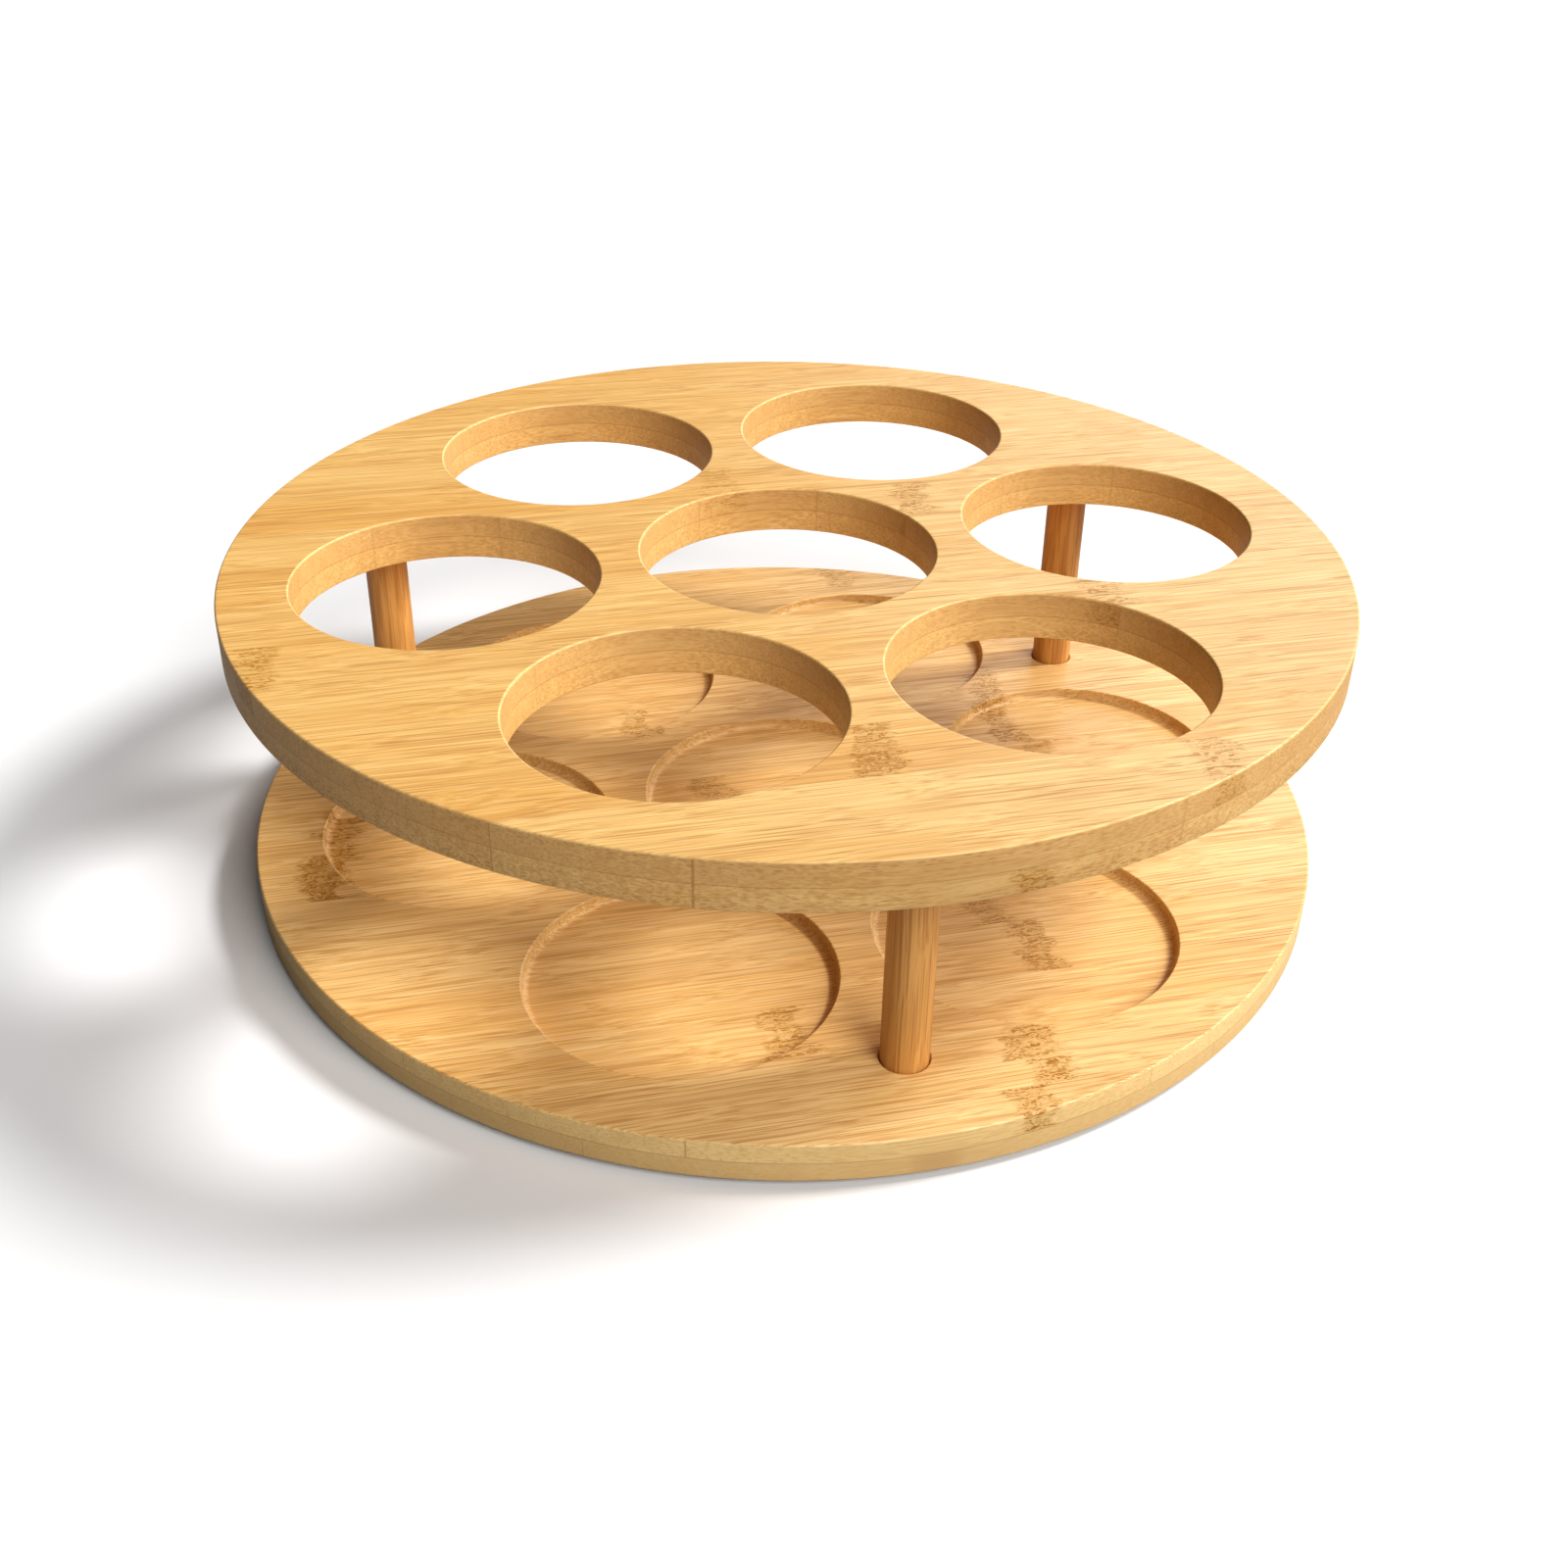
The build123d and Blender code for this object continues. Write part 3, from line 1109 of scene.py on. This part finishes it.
@dataclass
class LowerTier(Tier):
    """The lower board with its recesses, sockets and screw holes."""

    recess_depth: float = 3.0 * MM
    recess_corner: float = 1.8 * MM
    recess_rim: float = 0.5 * MM
    screw_head_radius: float = 3.5 * MM
    screw_hole_radius: float = 1.75 * MM
    head_sink: float = 0.3 * MM

    def build(self, material: bpy.types.Material) -> bpy.types.Object:
        """Make the lower tier.

        Args:
            material: The board's material.

        Returns:
            The finished piece.
        """
        plan = self.plan
        own = {
            "Bottom": plan.lower_bottom,
            "Top": plan.lower_top,
            "Recess Floor": plan.lower_top - self.recess_depth,
            "Recess Corner": self.recess_corner,
            "Recess Rim": self.recess_rim,
            "Socket Floor": plan.socket_floor,
            "Screw Head Radius": self.screw_head_radius,
            "Screw Hole Radius": self.screw_hole_radius,
            "Head Sink": self.head_sink,
        }
        s = self.shaper("lower_tier_shape", own, material)
        bottom, top = s.given["Bottom"], s.given["Top"]
        cups, posts = self.cup_places(s), self.post_places(s)

        cup, corner, lip = s.given["Cup Radius"], s.given["Recess Corner"], s.given["Recess Rim"]
        floor = s.given["Recess Floor"]
        mouth = s.math("ADD", cup, lip)
        inner = s.math("SUBTRACT", cup, corner)
        outline = ((inner, floor), (cup, floor), (cup, top), (mouth, top))
        wall = s.wall(outline, (corner, lip), CUP_SEGMENTS, ROUNDING_STEPS)
        dish = s.gather(wall, s.flat([s.circle(inner, CUP_SEGMENTS)], floor, looks_up=True))

        socket, chamfer = s.given["Socket Radius"], s.given["Mouth Chamfer"]
        seat = s.given["Socket Floor"]
        wide = s.math("ADD", socket, chamfer)
        outline = ((socket, seat), (socket, seat), (socket, top), (wide, top))
        pocket = s.wall(outline, (0.0, chamfer), SMALL_SEGMENTS, 1)
        head, shank = s.given["Screw Head Radius"], s.given["Screw Hole Radius"]
        sunk = s.math("ADD", bottom, s.given["Head Sink"])
        cone_top = s.math("ADD", sunk, s.math("SUBTRACT", head, shank))
        outline = ((head, bottom), (head, sunk), (shank, cone_top), (shank, seat))
        screw_hole = s.wall(outline, (0.0, 0.0), SMALL_SEGMENTS, 1)
        ledge_outlines = [s.circle(socket, SMALL_SEGMENTS), s.circle(shank, SMALL_SEGMENTS)]
        ledge = s.flat(ledge_outlines, seat, looks_up=True)

        rim = self.rim(s)
        dishes = s.copies(cups, s.circle(mouth, CUP_SEGMENTS))
        sockets = s.copies(posts, s.circle(wide, SMALL_SEGMENTS))
        heads = s.copies(posts, s.circle(head, SMALL_SEGMENTS))
        parts = [
            self.outer_wall(s, bottom, top),
            s.copies(cups, dish),
            s.copies(posts, s.gather(pocket, ledge, screw_hole)),
            s.flat([rim, dishes, sockets], top, looks_up=True),
            s.flat([rim, heads], bottom, looks_up=False),
        ]
        return s.bake(parts, "lower_board")


def turned(
    title: str,
    outline: Sequence[tuple[float, float]],
    axis: Vector,
    segments: int,
) -> bpy.types.Object:
    """A piece turned on a lathe.

    Args:
        title: The piece's name.
        outline: Radius and height of each point, from one point on the axis to another.
        axis: A point on the upright axis.
        segments: Faces round the turn.

    Returns:
        The piece's object, with smooth sides.
    """
    shape = bmesh.new()
    rings = []
    for radius, height in outline:
        if radius == 0.0:
            rings.append([shape.verts.new((axis.x, axis.y, height))])
            continue
        ring = []
        for step in range(segments):
            angle = 2 * pi * step / segments
            x, y = axis.x + radius * cos(angle), axis.y + radius * sin(angle)
            ring.append(shape.verts.new((x, y, height)))
        rings.append(ring)
    for low, high in zip(rings, rings[1:]):
        for step in range(segments):
            after = step + 1
            corners = [low[step % len(low)], low[after % len(low)]]
            corners += [high[after % len(high)], high[step % len(high)]]
            shape.faces.new(list(dict.fromkeys(corners)))
    bmesh.ops.recalc_face_normals(shape, faces=shape.faces)
    mesh = bpy.data.meshes.new(title)
    shape.to_mesh(mesh)
    shape.free()
    mesh.shade_smooth()
    mesh.set_sharp_from_angle(angle=SHARP_ANGLE)
    return stand(title, mesh)


@dataclass
class Post:
    """One upright rod between the tiers, with a pilot hole for its screw."""

    node: str
    screw: str
    end_chamfer: float = 0.6 * MM
    pilot_radius: float = 1.75 * MM
    pilot_room: float = 1.0 * MM

    def build(self, material: bpy.types.Material) -> bpy.types.Object:
        """Make the post.

        Args:
            material: The post's material.

        Returns:
            The finished piece.
        """
        low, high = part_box(self.node)
        middle = (low + high) / 2
        radius = max(high.x - low.x, high.y - low.y) / 2
        chamfer = self.end_chamfer
        pilot_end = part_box(self.screw)[1].z + self.pilot_room
        outline = [
            (0.0, pilot_end),
            (self.pilot_radius, pilot_end),
            (self.pilot_radius, low.z),
            (radius - chamfer, low.z),
            (radius, low.z + chamfer),
            (radius, high.z - chamfer),
            (radius - chamfer, high.z),
            (0.0, high.z),
        ]
        piece = turned(f"{self.node}_rod", outline, middle, POST_SEGMENTS)
        piece.data.materials.append(material)
        return piece


@dataclass(frozen=True)
class FarLight:
    """A light so far away that it falls evenly on everything. Its angles are in degrees.

    The azimuth is counted from +X and the elevation from the floor. The spread is how wide the light
    looks, which softens its shadows, and the strength is its irradiance.
    """

    name: str
    azimuth: float
    elevation: float
    spread: float
    strength: float

    def hang(self) -> None:
        """Hang the light."""
        lamp = bpy.data.lights.new(self.name, "SUN")
        lamp.angle = radians(self.spread)
        lamp.energy = self.strength
        light = stand(self.name, lamp)
        a, e = radians(self.azimuth), radians(self.elevation)
        toward = Vector((cos(e) * cos(a), cos(e) * sin(a), sin(e)))
        light.rotation_euler = toward.to_track_quat("Z", "Y").to_euler()


FAR_LIGHTS = (
    FarLight("key", azimuth=3.0, elevation=42.0, spread=15.0, strength=2.4),
    FarLight("front_fill", azimuth=-65.0, elevation=37.0, spread=40.0, strength=2.3),
    FarLight("back_sheen", azimuth=52.0, elevation=19.0, spread=42.0, strength=1.0),
)


@dataclass
class Studio:
    """A pale floor, soft lights and the camera."""

    plan: Plan
    floor_half: float = 6.0
    floor_shade: float = 0.9
    floor_bounce: float = 0.34
    sky_shade: float = 0.9
    sky_light: float = 0.04
    lens: float = 41.72
    view_azimuth: float = radians(-14.07)
    view_elevation: float = radians(24.75)
    view_pitch: float = radians(32.18)
    view_roll: float = radians(1.0)
    view_radii: float = 3.308

    def floor(self) -> None:
        """The floor that the holder stands on."""
        half = self.floor_half
        mesh = bpy.data.meshes.new("floor")
        corners = [(-half, -half, 0), (half, -half, 0), (half, half, 0), (-half, half, 0)]
        mesh.from_pydata(corners, [], [(0, 1, 2, 3)])
        material, g, surface = new_material("pale_floor")
        seen = g.call("ShaderNodeLightPath", {}, "Is Camera Ray")
        shade = g.fade(seen, 0.0, 1.0, self.floor_bounce, self.floor_shade)
        g.feed(surface.inputs["Base Color"], g.join(shade, shade, shade))
        surface.inputs["Roughness"].default_value = 0.9
        mesh.materials.append(material)
        stand("floor", mesh)

    def lights(self) -> None:
        """A key from the right, fills from the front and the back, and a pale sky."""
        for light in FAR_LIGHTS:
            light.hang()
        world = bpy.data.worlds.new("studio")
        world.use_nodes = True
        g = Graph(world.node_tree)
        backdrop = world.node_tree.nodes["Background"]
        backdrop.inputs["Color"].default_value = (1.0, 1.0, 1.0, 1.0)
        seen = g.call("ShaderNodeLightPath", {}, "Is Camera Ray")
        g.feed(backdrop.inputs["Strength"], g.fade(seen, 0.0, 1.0, self.sky_light, self.sky_shade))
        bpy.context.scene.world = world
        bpy.context.scene.view_settings.view_transform = "Standard"
        bpy.context.scene.view_settings.look = "Medium High Contrast"

    def camera(self) -> None:
        """The camera, in front, a little to the left and looking down on the holder."""
        lens = bpy.data.cameras.new("camera")
        lens.lens = self.lens
        lens.sensor_width = 36.0
        camera = stand("camera", lens)
        away = self.view_radii * self.plan.tier_radius
        flat = away * cos(self.view_elevation)
        place = Vector((0.0, -flat, away * sin(self.view_elevation) + self.plan.upper_top))
        place.rotate(Matrix.Rotation(self.view_azimuth, 3, "Z"))
        turn = (
            Matrix.Rotation(self.view_azimuth, 3, "Z")
            @ Matrix.Rotation(pi / 2 - self.view_pitch, 3, "X")
            @ Matrix.Rotation(self.view_roll, 3, "Z")
        )
        camera.matrix_world = Matrix.Translation(place) @ turn.to_4x4()
        bpy.context.scene.camera = camera

    def build(self) -> None:
        """Set up the whole studio."""
        self.camera()
        self.floor()
        self.lights()


UPPER_KNOTS = (
    Knot(-1, 15 * MM, 0.7, Ply.LOWER),
    Knot(0, 68 * MM, 0.6),
    Knot(1, -7 * MM, 1.0),
    Knot(4, 75 * MM, 0.6),
    Knot(4, -141 * MM, 0.7),
    Knot(7, 43 * MM, 0.8),
    Knot(8, -10 * MM, 0.4),
)
LOWER_KNOTS = (
    Knot(-1, 24 * MM, 0.8),
    Knot(0, 32 * MM, 0.9),
    Knot(1, -25 * MM, 0.7),
    Knot(2, 47 * MM, 0.8),
    Knot(3, 40 * MM, 0.8),
    Knot(5, -132 * MM, 1.3),
    Knot(6, -126 * MM, 0.9),
    Knot(6, -20 * MM, 0.7),
    Knot(6, 83 * MM, 0.7),
    Knot(7, 77 * MM, 0.9),
    Knot(8, 78 * MM, 0.7),
    Knot(8, -35 * MM, 0.7),
    Knot(12, 52 * MM, 0.7),
)


def settle(piece: bpy.types.Object, slot: Slot, *nodes: str) -> None:
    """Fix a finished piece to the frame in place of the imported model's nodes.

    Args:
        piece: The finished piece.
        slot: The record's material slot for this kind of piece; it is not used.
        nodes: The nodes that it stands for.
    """
    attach(piece, "root")
    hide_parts(*nodes)
    LOG.info("%s: %d faces for %s", piece.name, len(piece.data.polygons), ", ".join(nodes))


def main() -> None:
    """Build the holder and the studio round it."""
    logging.basicConfig(level=logging.INFO, format="%(name)s: %(message)s")
    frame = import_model()
    plan = Plan.read(frame["record"])
    Studio(plan).build()
    upper_finish = BoardFinish(
        name="bamboo_upper_board",
        glue_height=(plan.upper_bottom + plan.upper_top) / 2,
        upper_shift=-140 * MM,
        lower_shift=-140 * MM,
        seed=5.0,
        knots=UPPER_KNOTS,
        pale_row=0,
        browner_ply=Ply.UPPER,
        wall_grain=1.2,
        ply_contrast=0.3,
        edge_paleness=0.08,
        outer_radius=plan.tier_radius,
    )
    lower_finish = BoardFinish(
        name="bamboo_lower_board",
        glue_height=(plan.lower_bottom + plan.lower_top) / 2,
        upper_shift=-139 * MM,
        lower_shift=-150 * MM,
        seed=19.0,
        knots=LOWER_KNOTS,
        pale_row=-1,
        browner_ply=Ply.LOWER,
        wall_grain=0.4,
        ply_contrast=0.5,
        edge_paleness=0.45,
        outer_radius=plan.tier_radius,
        colours=BambooColours(
            ground=srgb(246, 209, 144),
            warm=srgb(238, 188, 114),
            pale=srgb(250, 219, 164),
        ),
    )
    settle(UpperTier(plan).build(upper_finish.material()), Slot.BOARD, "upper_tier")
    settle(LowerTier(plan).build(lower_finish.material()), Slot.BOARD, "lower_tier")
    rod = PostFinish().material()
    for side in SIDES:
        settle(Post(f"post_{side}", f"screw_{side}").build(rod), Slot.POST, f"post_{side}")
    steel, rubber = SteelFinish().material(), RubberFinish().material()
    for name, node in frame["nodes"].items():
        if name.startswith(("screw_", "pad_")):
            node.data.materials.clear()
            node.data.materials.append(steel if name.startswith("screw_") else rubber)
            LOG.info("%s: the packed model's shape, in %s", name, node.data.materials[0].name)


if __name__ == "__main__":
    main()
